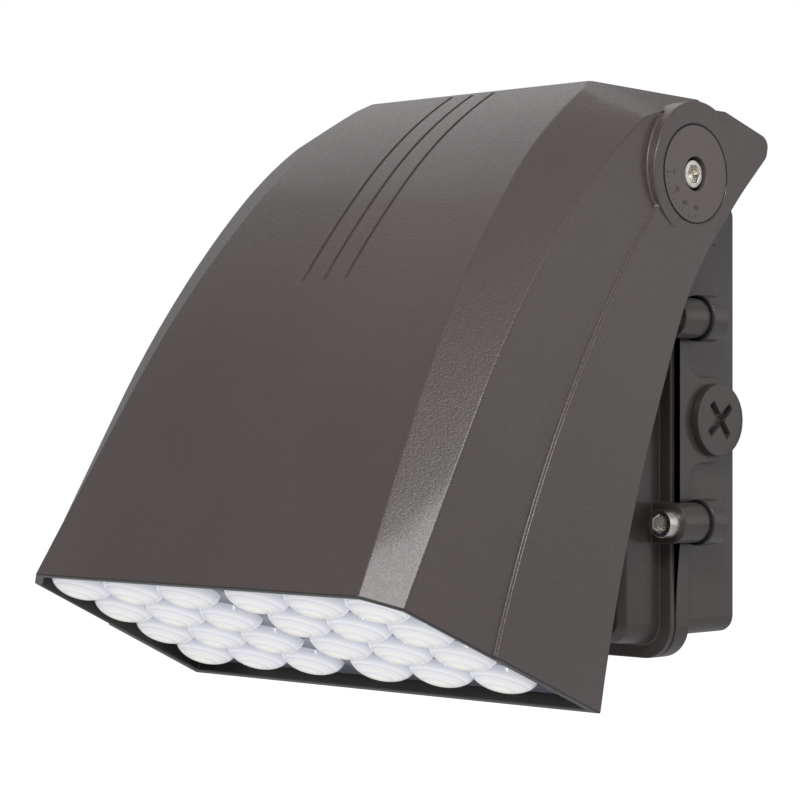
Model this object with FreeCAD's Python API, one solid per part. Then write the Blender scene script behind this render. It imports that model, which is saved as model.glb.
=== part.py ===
import FreeCAD, Part
import math
import os
from FreeCAD import Matrix, Vector

# Adjustable wall pack light, in millimetres.
# X runs across the wall, -Y out of the wall, Z up.  The origin lies on the wall,
# in the middle of the wire entry of the back box.
# The head is drawn shut, in its own frame with the tilt axis as origin, and is
# then swung open to the tilt at which it rests.

# Tilt hinge
pivot_out = 44.5
pivot_up = 85.5
rest_tilt = 24.5

# Back box: a casting with a gasket flange, a closed shelf on top and two hinge ears
box_half_width = 75.5
box_below = 76.5
box_above = 79.0
box_depth = 30.0
box_corner = 6.0
box_wall = 3.5
box_room_corner = 4.0
back_edge_chamfer = 2.0
flange_lip = 2.5
flange_below = 84.3
flange_above = 70.0
flange_depth = 7.3
flange_corner = 12.0
flange_land = 8.0
mouth_corner = 7.0

# Cover, gasket and the four lugs that clamp them
gasket_gap = 0.8
gasket_width = 3.0
gasket_inset = 0.6
cover_flange = 2.4
cover_step = 5.0
cover_front_out = 59.5
cover_draft = 1.5
cover_wall = 3.0
cover_edge = 2.5
cover_corner = 8.0
lug_stand_out = 3.2
lug_z = 36.0
cover_lug_radius = 7.1
cover_lug_out = 44.5
box_lug_radius = 8.3
box_lug_length = 8.5
lug_clearance = 0.5

# M6 socket screws
bolt_radius = 3.0
bolt_head_radius = 5.0
bolt_head_height = 6.0
bolt_socket_radius = 2.9
bolt_socket_depth = 3.2
bolt_hole_radius = 3.3
bolt_tip_gap = 0.5
lug_floor = 0.8

# Conduit entries on both sides, closed by plugs
plug_out = 16.0
plug_head_radius = 13.0
plug_head_height = 3.0
plug_shank_radius = 10.4
plug_shank_length = 11.0
plug_slot_length = 15.0
plug_slot_width = 2.4
plug_slot_depth = 1.6
plug_rim_chamfer = 0.7
plug_slot_turn = 38.0
pad_radius = 15.3
pad_blend = 7.0

# Wall side of the box
entry_radius = 11.0
wall_gasket_inset = 7.0
wall_gasket_width = 5.0
wall_gasket_depth = 1.5
wall_hole_radius = 3.25
wall_hole_x = 50.0
wall_hole_z = 55.0

# Ears, dial caps and tilt bolts
ear_stand_out = 8.5
ear_thickness = 14.0
ear_radius = 14.0
ear_root_rear_out = 21.0
ear_root_low = 62.0
ear_root_blend = 6.0
ear_root_rise = 0.6
hinge_face_gap = 0.15
hinge_bore_radius = 11.0
hinge_bore_clearance = 0.06
dial_radius = 17.0
dial_thickness = 3.0
dial_gap = 0.2
arm_thickness = 8.5
dial_bolt_recess = 0.8
dial_bolt_gap = 1.0
dial_bolt_play = 0.2
key_length = 16.0
key_width = 4.0
key_depth = 1.8
key_clearance = 0.1
tilt_bolt_thread = 16.0

# Hood of the head, side view in the head frame
rim_drop = 190.5
face_lean = 5.5
lower_radius = 400.0
waist_lean = 19.3
upper_radius = 186.0
brow_lean = 37.0
crown_room_radius = 1.0
crown_lean = 90.0
crown_out = 23.4
crown_up = 26.8
hood_wall = 3.0
side_wall = 2.6

# Arms behind the hood: a notch behind the roof, a flat tail, and a rear edge that runs
# forward to a waist and flares out again to the rim
roof_end = 2.8
notch_blend = 1.5
tail_step = 4.7
tail_slope = 1.8
tail_top = 30.6
tail_reach = 31.8
tail_round = 4.0
heel_reach = 32.8
heel_height = 23.8
shoulder_reach = 24.7
shoulder_height = 4.2
shoulder_bend = 150.0
arm_waist = 11.4
arm_waist_top = -36.0
arm_waist_bend = 130.0
arm_waist_foot = -84.0
arm_rear = 20.5

# Hood across: the side panels lean in towards the top and out towards the rear
side_inset = 2.3
side_flare = 0.074
side_draft = 0.042
crease_inset = 32.7
crease_draft = 0.1105
chamfer_depth = 9.6
chamfer_sections = 13
chamfer_overrun = 36.0
facet_out = 22.9
facet_up = 11.6
facet_lean = 48.5
strip_proud = 1.5
strip_rim = 30.5
strip_middle = 29.1
strip_middle_drop = 106.6
strip_top = 12.1
strip_top_drop = 17.9
boss_radius = 22.3
boss_rise = 3.4
boss_wall = 3.0

# Three fine grooves down the upper face
groove_pitch = 10.5
groove_width = 1.4
groove_depth = 0.6
groove_top_z = 24.3
groove_foot_z = -70.7

# Lamp tray under the hood and its cooling fins
lens_recess = 4.2
lens_plate = 2.5
board_thickness = 1.6
tray_floor = 4.0
tray_rear_wall = 3.5
fin_count = 9
fin_pitch = 16.0
fin_thickness = 2.4
fin_rear_y = -38.0
fin_top_z = -70.0
fin_top_rear_y = -52.0

# Optics: two lens plates, each with three columns and four rows of domes
lens_columns = 3
lens_rows = 4
dome_pitch_x = 28.5
dome_pitch_y = 21.3
dome_half_x = 13.2
dome_half_y = 9.9
dome_height = 6.0
dome_root = 0.5
dome_rise = 72.0
dome_steps = 3
dome_facets = 12
first_dome_x = 17.5
last_dome_y = -1.4
lens_seam = 0.6
lens_fit = 0.4
clip_shift = -1.0
chip_size = 5.0
chip_height = 0.7
chip_pocket = 6.0
chip_pocket_depth = 1.2
board_margin = 1.5
lens_gasket_width = 4.0
clip_width = 8.0
clip_thickness = 0.8
clip_lip = 2.5
clip_span = 62.0

# Driver and wiring gear inside the box
driver_half_length = 60.0
driver_height = 26.0
driver_width = 52.0
driver_low = -68.0
driver_tab = 8.0
driver_tab_thickness = 2.0
driver_tab_half_width = 8.0
driver_post_height = 6.0
driver_post_width = 7.0
driver_lift = 1.0
surge_half_length = 22.0
surge_width = 28.0
surge_height = 18.0
surge_low = 24.0
terminal_half_length = 18.0
terminal_width = 16.0
terminal_height = 13.0
terminal_low = 34.0
terminal_entry = 4.0
terminal_entry_depth = 8.0
terminal_poles = 3

# Cable glands for the lead from the box to the head
gland_x = -45.0
gland_cover_z = 4.0
gland_tray_y = -28.0
gland_thread_radius = 6.0
gland_stem_play = 0.2
gland_hex_half = 7.5
gland_hex_height = 5.0
gland_cap_height = 6.0
gland_cap_half = 6.2

# Sizes and places that follow from those above
crown_radius = hood_wall + crown_room_radius
flange_half_width = box_half_width + flange_lip
lug_x = flange_half_width + lug_stand_out
ear_face_x = box_half_width + ear_stand_out
dial_face_x = ear_face_x + arm_thickness
side_half_width = dial_face_x - side_inset
crease_half_width = dial_face_x - crease_inset
pivot = Vector(0, -pivot_out, pivot_up)
flange_front = -(box_depth + flange_depth)
cover_back = flange_front - gasket_gap
cover_land = cover_back - cover_flange
cover_front = -cover_front_out
lug_rear = -box_depth
lens_face_z = -rim_drop + lens_recess
lens_back_z = lens_face_z + lens_plate
floor_low_z = lens_back_z + board_thickness
floor_top_z = floor_low_z + tray_floor
far = 260.0


def block(x0, x1, y0, y1, z0, z1):
    return Part.makeBox(x1 - x0, y1 - y0, z1 - z0, Vector(x0, y0, z0))


def rod(radius, start, end):
    axis = end - start
    return Part.makeCylinder(radius, axis.Length, start, axis)


def mirrored(shape):
    return shape.mirror(Vector(0, 0, 0), Vector(1, 0, 0))


def both_sides(shape):
    return [shape, mirrored(shape)]


def joined(shapes):
    return shapes[0].fuse(shapes[1:]).removeSplitter()


def write(name, shape):
    shape.exportStep("parts/" + name + ".step")


def path_edges(corners, closed):
    """Lines through (point, radius) corners, with an arc at each corner that has a radius."""
    stops = []
    count = len(corners)
    for index, (here, radius) in enumerate(corners):
        at_end = not closed and index in (0, count - 1)
        if at_end or radius == 0:
            stops.append((here, here, here))
            continue
        to_before = (corners[index - 1][0] - here).normalize()
        to_after = (corners[(index + 1) % count][0] - here).normalize()
        half = to_before.getAngle(to_after) / 2
        reach = radius / math.tan(half)
        middle = (to_before + to_after).normalize() * (radius / math.sin(half) - radius)
        stops.append((here + to_before * reach, here + middle, here + to_after * reach))
    edges = []
    for index, (start, middle, end) in enumerate(stops):
        if start.distanceToPoint(end) > 0.001:
            edges.append(Part.Arc(start, middle, end).toShape())
        if index + 1 < count or closed:
            following = stops[(index + 1) % count][0]
            if end.distanceToPoint(following) > 0.001:
                edges.append(Part.LineSegment(end, following).toShape())
    return edges


def loop(corners):
    return Part.Wire(path_edges(corners, True))


def prism(corners, along):
    return Part.Face(loop(corners)).extrude(along)


def plate_loop(half_width, low, high, corner, y):
    """Rounded rectangle facing along Y."""
    spots = [(half_width, low), (half_width, high), (-half_width, high), (-half_width, low)]
    return loop([(Vector(x, y, z), corner) for x, z in spots])


def plate(half_width, low, high, corner, y_back, y_front):
    face = Part.Face(plate_loop(half_width, low, high, corner, y_back))
    return face.extrude(Vector(0, y_front - y_back, 0))


def flat_solid(rings):
    """Solid with flat faces between closed rings of corners, the first and last ring filled."""
    outlines = [rings[0], rings[-1]]
    for upper, lower in zip(rings, rings[1:]):
        for here in range(len(upper)):
            following = (here + 1) % len(upper)
            outlines.append([upper[here], upper[following], lower[following], lower[here]])
    faces = [Part.Face(Part.makePolygon(outline + outline[:1])) for outline in outlines]
    solid = Part.makeSolid(Part.makeShell(faces))
    return solid if solid.Volume > 0 else solid.reversed()


def hexagon(half_flats, centre, along):
    corner = half_flats / math.cos(math.pi / 6)
    side = Vector(1, 0, 0) if abs(along.x) < 0.5 * along.Length else Vector(0, 1, 0)
    spin = FreeCAD.Rotation(along, 60)
    points = [(centre + side * corner, 0)]
    for _ in range(5):
        side = spin.multVec(side)
        points.append((centre + side * corner, 0))
    return prism(points, along)


def socket_screw(seat, into, length):
    """M6 socket screw: its head stands on seat and its shank runs along into."""
    out = into * -1
    top = seat + out * bolt_head_height
    screw = rod(bolt_head_radius, seat, top).fuse(rod(bolt_radius, seat, seat + into * length))
    socket = hexagon(bolt_socket_radius, top, into * bolt_socket_depth)
    return screw.cut(socket).removeSplitter()


# Back box and what closes it

def lug_places():
    return [(x, z) for x in (-lug_x, lug_x) for z in (-lug_z, lug_z)]


def conduit_pad():
    """Raised pad round a conduit entry, which runs out into the flange."""
    centre = Vector(box_half_width - 1, -plug_out, 0)
    root = pad_radius + pad_blend
    disc = rod(pad_radius, centre, centre + Vector(flange_half_width - box_half_width + 1, 0, 0))
    apron = [
        (Vector(centre.x, -plug_out, -pad_radius), 0),
        (Vector(centre.x, -box_depth, -pad_radius), pad_blend),
        (Vector(centre.x, -box_depth, -root), 0),
        (Vector(centre.x, flange_front, -root), 0),
        (Vector(centre.x, flange_front, root), 0),
        (Vector(centre.x, -box_depth, root), 0),
        (Vector(centre.x, -box_depth, pad_radius), pad_blend),
        (Vector(centre.x, -plug_out, pad_radius), 0),
    ]
    return disc.fuse(prism(apron, Vector(flange_half_width - centre.x, 0, 0)))


def ear():
    """Hinge ear at one top corner of the box, with a round boss on the tilt axis."""
    inner = ear_face_x - ear_thickness
    centre = Vector(inner, pivot.y, pivot.z)
    boss = rod(ear_radius, centre, centre + Vector(ear_thickness, 0, 0))
    root = [
        (Vector(inner, pivot.y, pivot.z + ear_radius), 0),
        (Vector(inner, -ear_root_rear_out, box_above), ear_root_blend),
        (Vector(inner, -ear_root_rear_out, ear_root_low), 0),
        (Vector(inner, -box_depth, ear_root_low), 0),
        (Vector(inner, flange_front, flange_above + ear_root_rise), 0),
        (Vector(inner, pivot.y, pivot.z - ear_radius), 0),
    ]
    return boss.fuse(prism(root, Vector(ear_thickness, 0, 0)))


def box_cavity():
    inner = box_half_width - box_wall
    mouth = flange_half_width - flange_land
    room = plate(inner, -box_below + box_wall, box_above - box_wall, box_room_corner,
                 -box_wall, -(box_depth - box_wall))
    opening = plate(mouth, -flange_below + flange_land, flange_above - flange_land,
                    mouth_corner, -box_wall, flange_front - 1)
    return room.fuse(opening)


def back_box():
    body = plate(box_half_width, -box_below, box_above, box_corner, 0, -box_depth)
    rear_edges = [edge for edge in body.Edges if edge.BoundBox.YMin > -0.01]
    body = body.makeChamfer(back_edge_chamfer, rear_edges)
    flange = plate(flange_half_width, -flange_below, flange_above, flange_corner,
                   -box_depth, flange_front)
    solids = [body, flange] + both_sides(conduit_pad()) + both_sides(ear())
    for x, z in lug_places():
        solids.append(rod(box_lug_radius, Vector(x, lug_rear + box_lug_length, z),
                          Vector(x, lug_rear, z)))
    return joined(solids).cut([box_cavity()] + back_box_holes()).removeSplitter()


def back_box_holes():
    holes = []
    for x, z in lug_places():
        nest = cover_lug_radius + lug_clearance
        holes.append(rod(nest, Vector(x, lug_rear, z), Vector(x, flange_front - 1, z)))
        tip = lug_rear + box_lug_length - lug_floor
        holes.append(rod(bolt_radius, Vector(x, tip, z), Vector(x, lug_rear, z)))
    holes.append(rod(entry_radius, Vector(0, 1, 0), Vector(0, -box_wall - 1, 0)))
    holes.append(wall_gasket())
    for x in (-wall_hole_x, wall_hole_x):
        for z in (-wall_hole_z, wall_hole_z):
            holes.append(rod(wall_hole_radius, Vector(x, 1, z), Vector(x, -box_wall - 1, z)))
    inner = box_half_width - box_wall - 1
    entry = rod(plug_shank_radius, Vector(inner, -plug_out, 0),
                Vector(flange_half_width + 1, -plug_out, 0))
    thread = rod(bolt_radius, Vector(ear_face_x - tilt_bolt_thread - bolt_tip_gap, pivot.y, pivot.z),
                 Vector(ear_face_x + 1, pivot.y, pivot.z))
    for hole in (entry, thread, key_shape(key_clearance)):
        holes += both_sides(hole)
    return holes


def wall_gasket():
    """Foam strip that runs round the wall side of the box, in a groove."""
    frames = []
    for inset in (wall_gasket_inset, wall_gasket_inset + wall_gasket_width):
        frames.append(block(-box_half_width + inset, box_half_width - inset, -wall_gasket_depth, 0,
                            -box_below + inset, box_above - inset))
    return frames[0].cut(frames[1])


def box_gasket():
    mouth = flange_half_width - flange_land + gasket_inset
    low = -flange_below + flange_land - gasket_inset
    high = flange_above - flange_land + gasket_inset
    corner = mouth_corner + gasket_inset
    outer = plate(mouth + gasket_width, low - gasket_width, high + gasket_width,
                  corner + gasket_width, flange_front, cover_back)
    inner = plate(mouth, low, high, corner, flange_front, cover_back)
    return outer.cut(inner)


def crown_profile():
    """Half width and place of the raised middle, from its foot over the bevel to its front."""
    slope = cover_draft / (cover_land - cover_front)
    shoulder = cover_front + cover_edge
    narrow = cover_corner - cover_draft
    return [
        Vector(cover_corner, cover_land, 0),
        Vector(narrow + slope * cover_edge, shoulder, 0),
        Vector(narrow - cover_edge, cover_front, 0),
    ]


def drafted_corner(x, z):
    """Round corner of the raised middle, turned about its own axis."""
    side = crown_profile()
    axis = [Vector(0, side[-1].y, 0), Vector(0, side[0].y, 0)]
    half = Part.Face(Part.makePolygon(axis[1:] + side + axis))
    corner = half.revolve(Vector(0, 0, 0), Vector(0, 1, 0), 360)
    corner.translate(Vector(x, 0, z))
    return corner


def drafted_bar(start, end):
    """Stretch of the raised middle between two of its corners."""
    across = Vector(0, 1, 0).cross((end - start).normalize())
    side = crown_profile()
    points = [start + across * spot.x + Vector(0, spot.y, 0) for spot in side]
    points += [start - across * spot.x + Vector(0, spot.y, 0) for spot in reversed(side)]
    return Part.Face(Part.makePolygon(points + points[:1])).extrude(end - start)


def cover_crown():
    """Raised middle of the cover, with drafted sides and a bevelled front edge."""
    inset = cover_step + cover_corner
    x = flange_half_width - inset
    low = -flange_below + inset
    high = flange_above - inset
    spots = [Vector(x, 0, low), Vector(x, 0, high), Vector(-x, 0, high), Vector(-x, 0, low)]
    solids = [drafted_corner(spot.x, spot.z) for spot in spots]
    for index, spot in enumerate(spots):
        solids.append(drafted_bar(spot, spots[(index + 1) % 4]))
    solids.append(block(-x, x, cover_front, cover_land, low, high))
    return joined(solids)


def box_cover():
    flange = plate(flange_half_width, -flange_below, flange_above, flange_corner,
                   cover_back, cover_land)
    solids = [flange, cover_crown()]
    for x, z in lug_places():
        solids.append(rod(cover_lug_radius, Vector(x, lug_rear - lug_clearance, z),
                          Vector(x, -cover_lug_out, z)))
        inner = math.copysign(flange_half_width - cover_step - cover_draft, x)
        solids.append(block(min(inner, x), max(inner, x), -cover_lug_out, cover_back,
                            z - cover_lug_radius, z + cover_lug_radius))
    for x, z in driver_posts():
        solids.append(driver_post(x, z))
    inset = cover_step + cover_draft + cover_wall
    room = plate(flange_half_width - inset, -flange_below + inset, flange_above - inset,
                 cover_corner - cover_wall, cover_back + 1, cover_front + cover_wall)
    body = joined(solids[:-2]).cut(room).fuse(solids[-2:])
    holes = [rod(bolt_hole_radius, Vector(x, lug_rear, z), Vector(x, -cover_lug_out - 1, z))
             for x, z in lug_places()]
    holes.append(rod(gland_thread_radius, Vector(gland_x, cover_front - 1, gland_cover_z),
                     Vector(gland_x, cover_front + cover_wall + 1, gland_cover_z)))
    return body.cut(holes).removeSplitter()


def cover_screws():
    length = cover_lug_out + lug_rear + box_lug_length - lug_floor - bolt_tip_gap
    screws = [socket_screw(Vector(x, -cover_lug_out, z), Vector(0, 1, 0), length)
              for x, z in lug_places()]
    return Part.makeCompound(screws)


def plug_slot():
    """X-shaped driving slot in the face of a conduit plug."""
    face = flange_half_width + plug_head_height
    half = plug_slot_length / 2
    arm = block(face - plug_slot_depth, face + 1, -plug_out - half, -plug_out + half,
                -plug_slot_width / 2, plug_slot_width / 2)
    arms = []
    for turn in (plug_slot_turn, plug_slot_turn + 90):
        copy = arm.copy()
        copy.rotate(Vector(0, -plug_out, 0), Vector(1, 0, 0), turn)
        arms.append(copy)
    return arms[0].fuse(arms[1])


def conduit_plug():
    face = flange_half_width + plug_head_height
    head = rod(plug_head_radius, Vector(flange_half_width, -plug_out, 0), Vector(face, -plug_out, 0))
    rim = [edge for edge in head.Edges if edge.BoundBox.XMin > face - 0.01]
    head = head.makeChamfer(plug_rim_chamfer, rim)
    shank_end = Vector(flange_half_width - plug_shank_length, -plug_out, 0)
    shank = rod(plug_shank_radius, shank_end, Vector(flange_half_width, -plug_out, 0))
    return head.fuse(shank).cut(plug_slot()).removeSplitter()


# Electrical gear on the cover and in the box

def driver_posts():
    reach = driver_half_length + driver_tab / 2
    middle = driver_low + driver_width / 2
    return [(-reach, middle), (reach, middle)]


def driver_post(x, z):
    half = driver_post_width / 2
    return block(x - half, x + half, cover_front + 1,
                 cover_front + cover_wall + driver_post_height, z - half, z + half)


def led_driver():
    """Driver can, carried on the two posts by a tab at each end."""
    seat = cover_front + cover_wall + driver_post_height
    back = seat - driver_post_height + driver_height
    case = block(-driver_half_length, driver_half_length, seat - driver_post_height + driver_lift,
                 back, driver_low, driver_low + driver_width)
    reach = driver_half_length + driver_tab
    middle = driver_low + driver_width / 2
    tabs = block(-reach, reach, seat, seat + driver_tab_thickness,
                 middle - driver_tab_half_width, middle + driver_tab_half_width)
    return case.fuse(tabs).removeSplitter()


def surge_protector():
    seat = cover_front + cover_wall
    return block(-surge_half_length, surge_half_length, seat, seat + surge_height,
                 surge_low, surge_low + surge_width)


def terminal_block():
    rear = -box_wall
    front = rear - terminal_height
    body = block(-terminal_half_length, terminal_half_length, front, rear,
                 terminal_low, terminal_low + terminal_width)
    step = block(-terminal_half_length, terminal_half_length, front, front + terminal_height / 3,
                 terminal_low, terminal_low + terminal_width / 3)
    pitch = 2 * terminal_half_length / terminal_poles
    entries = []
    for pole in range(terminal_poles):
        x = -terminal_half_length + pitch * (pole + 0.5)
        half = terminal_entry / 2
        middle = (front + rear) / 2 + half
        entries.append(block(x - half, x + half, middle - half, middle + half,
                             terminal_low - 1, terminal_low + terminal_entry_depth))
    return body.cut([step] + entries)


def gland(foot, out, wall):
    """Cable gland: a stem screwed into the wall, a hexagon and a smaller clamping nut."""
    stem_length = wall - gland_stem_play
    stem = rod(gland_thread_radius, foot - out * stem_length, foot)
    hexagon_top = foot + out * gland_hex_height
    nut = hexagon(gland_hex_half, foot, out * gland_hex_height)
    cap = hexagon(gland_cap_half, hexagon_top, out * gland_cap_height)
    return stem.fuse([nut, cap]).removeSplitter()


def box_gland():
    return gland(Vector(gland_x, cover_front, gland_cover_z), Vector(0, -1, 0), cover_wall)


# Tilt hinge

def key_shape(clearance):
    """Tongue across the end of a dial cap, which stops the cap turning in its ear."""
    tongue = block(ear_face_x - key_depth - clearance, ear_face_x,
                   pivot.y - key_width / 2 - clearance, pivot.y + key_width / 2 + clearance,
                   pivot.z - key_length / 2 - clearance, pivot.z + key_length / 2 + clearance)
    return tongue


def hinge_point(x):
    return Vector(x, pivot.y, pivot.z)


def bolt_seat_x():
    return dial_face_x - dial_bolt_recess - bolt_head_height


def dial_cap():
    """Dial disc with the neck on which an arm of the head turns."""
    disc_back = dial_face_x - dial_thickness
    disc = rod(dial_radius, hinge_point(disc_back), hinge_point(dial_face_x))
    neck = rod(hinge_bore_radius - hinge_bore_clearance, hinge_point(ear_face_x),
               hinge_point(disc_back))
    pocket = rod(bolt_head_radius + dial_bolt_gap, hinge_point(bolt_seat_x()),
                 hinge_point(dial_face_x + 1))
    hole = rod(bolt_radius + dial_bolt_play, hinge_point(ear_face_x - key_depth - 1),
               hinge_point(dial_face_x))
    return disc.fuse([neck, key_shape(0)]).cut([pocket, hole]).removeSplitter()


def tilt_bolts():
    seat = hinge_point(bolt_seat_x())
    length = bolt_seat_x() - ear_face_x + tilt_bolt_thread
    bolt = socket_screw(seat, Vector(-1, 0, 0), length)
    return Part.makeCompound(both_sides(bolt))


# Head: shapes in the shut head frame

def up_slope(lean):
    """Unit step up the face where it leans back by lean degrees."""
    return Vector(0, math.sin(math.radians(lean)), math.cos(math.radians(lean)))


def into_hood(lean):
    """Unit step from the face into the hood where it leans back by lean degrees."""
    return Vector(0, math.cos(math.radians(lean)), -math.sin(math.radians(lean)))


def arc_end(start, radius, lean_from, lean_to):
    return start + (into_hood(lean_from) - into_hood(lean_to)) * radius


def face_joints():
    """Where the straight foot, the two long arcs and the crown of the face meet."""
    crown = Vector(0, -crown_out, crown_up)
    brow = arc_end(crown, crown_radius, crown_lean, brow_lean)
    waist = arc_end(brow, upper_radius, brow_lean, waist_lean)
    knee = arc_end(waist, lower_radius, waist_lean, face_lean)
    slope = up_slope(face_lean)
    foot = knee - slope * ((knee.z + rim_drop) / slope.z)
    return foot, knee, waist, brow, crown


def face_edges(inset, below):
    """Side view of the face from below the rim up to the roof, moved inward by inset."""
    foot, knee, _, brow, crown = face_joints()
    shift = into_hood(face_lean) * inset
    start = foot + shift - up_slope(face_lean) * below
    edges = [Part.LineSegment(start, knee + shift).toShape()]
    spans = face_arcs() + [(brow, crown_radius, brow_lean, crown_lean)]
    for begin, radius, lean_from, lean_to in spans:
        points = []
        for lean in (lean_from, (lean_from + lean_to) / 2, lean_to):
            points.append(arc_end(begin, radius, lean_from, lean) + into_hood(lean) * inset)
        edges.append(Part.Arc(points[0], points[1], points[2]).toShape())
    return edges, start, crown + into_hood(crown_lean) * inset


def arm_rear_edges():
    """Outline of an arm from the roof's end over its tail and down its rear edge to the rim."""
    waist_top = Vector(0, arm_waist, arm_waist_top)
    waist_foot = Vector(0, arm_waist, arm_waist_foot)
    rim = Vector(0, arm_rear, -rim_drop)
    edges = path_edges([
        (Vector(0, -crown_out, crown_up), 0),
        (Vector(0, roof_end, crown_up), notch_blend),
        (Vector(0, roof_end + tail_step, tail_top - tail_slope), notch_blend),
        (Vector(0, tail_reach, tail_top), tail_round),
        (Vector(0, heel_reach, heel_height), tail_round),
        (Vector(0, shoulder_reach, shoulder_height), shoulder_bend),
        (waist_top, arm_waist_bend),
        (waist_foot, 0),
    ], False)
    run = rim - waist_foot
    radius = run.Length ** 2 / (2 * run.y)
    half_turn = math.asin(-run.z / radius) / 2
    middle = waist_foot + Vector(0, 1 - math.cos(half_turn), -math.sin(half_turn)) * radius
    edges.append(Part.Arc(waist_foot, middle, rim).toShape())
    return edges, rim


def wide_prism(wire, half_width):
    solid = Part.Face(wire).extrude(Vector(2 * half_width, 0, 0))
    solid.translate(Vector(-half_width, 0, 0))
    return solid


def side_x(y, z):
    """Half width of the side panels at a place in the side view."""
    return side_half_width + side_flare * y - side_draft * z


def side_wedge(outset):
    """Everything between the two leaning side panels."""
    rings = []
    for y in (-far / 2, far / 3):
        corners = []
        for z, sign in ((-far, 1), (far / 3, 1), (far / 3, -1), (-far, -1)):
            corners.append(Vector(sign * (side_x(y, z) + outset), y, z))
        rings.append(corners)
    return flat_solid(rings)


def chamfer_section(point, lean, inset):
    """Triangle that covers what the chamfer takes off one corner at a point of the face."""
    edge_x = crease_half_width - crease_draft * point.z
    inner = point + into_hood(lean) * chamfer_depth
    outer_x = side_x(inner.y, inner.z)
    slope = math.atan2(chamfer_depth, outer_x - edge_x)
    edge_x -= inset * math.tan(slope / 2)
    outer_x -= inset
    inner_depth = chamfer_depth + inset * math.cos(slope) / (1 + math.sin(slope))
    crease = point + into_hood(lean) * inset + Vector(edge_x, 0, 0)
    corner = point + into_hood(lean) * inner_depth + Vector(outer_x, 0, 0)
    run = corner - crease
    start = crease - run * 0.5
    end = corner + run * 1.5
    return Part.makePolygon([start, end, Vector(end.x, start.y, start.z), start])


def face_arcs():
    """The two long arcs of the face: where each begins, its radius and its leans."""
    _, knee, waist, _, _ = face_joints()
    return [
        (knee, lower_radius, face_lean, waist_lean),
        (waist, upper_radius, waist_lean, brow_lean),
    ]


def face_station(distance):
    """Point and lean at a distance up the face from its foot, straight on past both ends."""
    foot, knee, _, brow, _ = face_joints()
    straight = foot.distanceToPoint(knee)
    if distance < straight:
        return foot + up_slope(face_lean) * distance, face_lean
    distance -= straight
    for begin, radius, lean_from, lean_to in face_arcs():
        length = radius * math.radians(lean_to - lean_from)
        if distance < length:
            lean = lean_from + math.degrees(distance / radius)
            return arc_end(begin, radius, lean_from, lean), lean
        distance -= length
    return brow + up_slope(brow_lean) * distance, brow_lean


def chamfer_tool(inset):
    """The two strips of space beside the face that the chamfers remove."""
    foot, knee, _, _, _ = face_joints()
    length = foot.distanceToPoint(knee)
    for _, radius, lean_from, lean_to in face_arcs():
        length += radius * math.radians(lean_to - lean_from)
    low = -chamfer_overrun
    high = length + chamfer_overrun
    sections = []
    for step in range(chamfer_sections):
        distance = low + (high - low) * step / (chamfer_sections - 1)
        point, lean = face_station(distance)
        sections.append(chamfer_section(point, lean, inset))
    right = Part.makeLoft(sections, True, False)
    return both_sides(right)


def facet_tool(inset):
    """Space over the facets that carry the chamfers past the crown to the arms' round tops."""
    crease = Vector(crease_half_width - crease_draft * crown_up, -crown_out, crown_up)
    panel = Vector(side_x(-facet_out, facet_up), -facet_out, facet_up)
    across = (panel - crease).normalize()
    along = up_slope(facet_lean)
    out = across.cross(along).normalize()
    middle = crease - out * inset
    corners = []
    for run, rise in ((-1, -1), (1, -1), (1, 1), (-1, 1)):
        corners.append((middle + across * (run * crease.x) + along * (rise * crease.x), 0))
    return both_sides(prism(corners, out * crease.x))


def corner_tools(inset):
    return chamfer_tool(inset) + facet_tool(inset)


def hood_outer():
    edges, start, _ = face_edges(0, 0)
    rear_edges, rim = arm_rear_edges()
    edges += rear_edges
    edges.append(Part.LineSegment(rim, start).toShape())
    shape = wide_prism(Part.Wire(edges), far)
    return shape.common(side_wedge(0)).cut(corner_tools(0))


def plain_room(inset, panel_wall):
    """The space between the side panels, open at the rear and below."""
    edges, start, crown = face_edges(inset, chamfer_overrun)
    corners = [
        (crown, 0),
        (Vector(0, roof_end, crown_up - inset), 0),
        (Vector(0, roof_end, far / 4), 0),
        (Vector(0, far / 4, far / 4), 0),
        (Vector(0, far / 4, start.z), 0),
        (start, 0),
    ]
    edges += path_edges(corners, False)
    shape = wide_prism(Part.Wire(edges), far)
    return shape.common(side_wedge(-panel_wall))


def tray_room(inset, panel_wall):
    """The space inside the straight foot of the hood, with its chamfered front corners."""
    foot, knee, _, _, _ = face_joints()
    shift = into_hood(face_lean) * inset
    start = foot + shift - up_slope(face_lean) * chamfer_overrun
    top = knee + shift
    corners = [
        (start, 0),
        (top, 0),
        (Vector(0, far / 4, top.z), 0),
        (Vector(0, far / 4, start.z), 0),
    ]
    room = wide_prism(loop(corners), far).common(side_wedge(-panel_wall))
    return room.cut(chamfer_tool(inset))


def arm_boss(radius, x0, x1):
    """Hinge boss on the tilt axis, drawn out upward to the round top of the arm."""
    top = Vector(0, 0, boss_rise)
    start = Vector(x0, 0, 0)
    end = Vector(x1, 0, 0)
    waist = block(x0, x1, -radius, radius, 0, boss_rise)
    return rod(radius, start, end).fuse([rod(radius, start + top, end + top), waist])


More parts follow.
